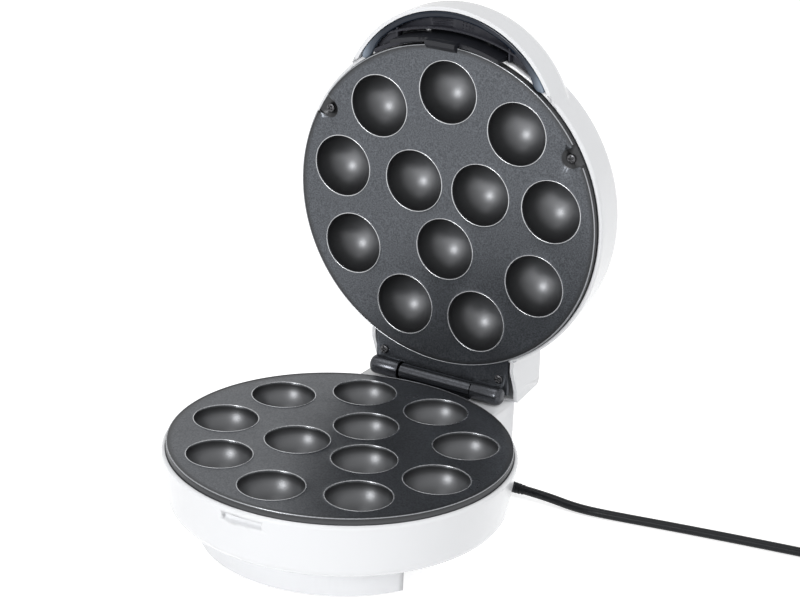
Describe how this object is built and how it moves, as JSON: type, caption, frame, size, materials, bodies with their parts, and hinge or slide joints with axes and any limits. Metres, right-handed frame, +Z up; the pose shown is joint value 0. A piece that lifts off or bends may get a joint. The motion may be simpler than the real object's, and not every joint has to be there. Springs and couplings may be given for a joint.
{
  "type": "cake pop maker",
  "caption": "Round countertop cake pop maker with a hinged lid, half-ball cups in both plates, a front handle with a sprung latch, a rear hinge tower and a mains lead.",
  "frame": {"origin": "bottom centre of the part's box without the mains lead, on the plane of the rubber feet, with the lid open", "axes": "+Z up, -Y to the front where the handle closes, +Y to the hinge, +X to the right as seen from the front"},
  "size_m": [0.5683, 0.3266, 0.3149],
  "materials": {
    "casing": "gloss",
    "cooking_plate": "satin",
    "bracket": "satin",
    "gloss_black": "gloss",
    "matt_black": "matte",
    "latch_black": "satin",
    "rubber": "matte",
    "cord": "satin",
    "lens": "gloss",
    "insulator": "matte",
    "sheet": "satin",
    "element": "satin",
    "steel": "satin",
    "black_screw": "satin"
  },
  "bodies": {
    "base": {"base_bracket_screws": "black_screw", "base_hinge_bracket": "bracket", "base_shell": "casing", "bottom_cover": "casing", "bottom_cover_screws": "steel", "cord_clamp": "insulator", "cord_coil": "cord", "cord_strain_relief": "cord", "cord_tail": "cord", "inner_lead": "cord", "lower_heating_element": "element", "lower_plate": "cooking_plate", "lower_plate_screws": "steel", "lower_reflector": "sheet", "plug": "cord", "power_cord": "cord", "rubber_feet": "rubber", "terminal_block": "insulator", "thermal_fuse": "insulator", "thermostat": "insulator", "tower_cover": "casing", "tower_cover_screws": "steel"},
    "lid": {"lid_shell": "casing", "upper_plate": "cooking_plate", "upper_plate_screws": "black_screw", "upper_heating_element": "element", "upper_reflector": "sheet", "lid_hinge_bracket": "bracket", "lid_bracket_screws": "black_screw", "hinge_pin": "steel", "hinge_caps": "bracket", "handle_trim": "gloss_black", "handle_liner": "matt_black", "latch_pin": "steel", "latch_spring": "steel", "pilot_lamp_lenses": "lens", "pilot_lamp_holder": "insulator"},
    "latch": {"latch_lever": "latch_black"}
  },
  "joints": [
    {"name": "lid_hinge", "type": "hinge", "parent": "base", "child": "lid", "pos_m": [0, 0.09334, 0.0625], "axis": [1, 0, 0], "range_deg": [0, 88.2]},
    {"name": "latch_swing", "type": "hinge", "parent": "lid", "child": "latch", "pos_m": [0, 0.10348, 0.29693], "axis": [-1, 0, 0], "range_deg": [0, 10], "stiffness_Nm_per_rad": 0.05, "springref_deg": -11.46}
  ]
}
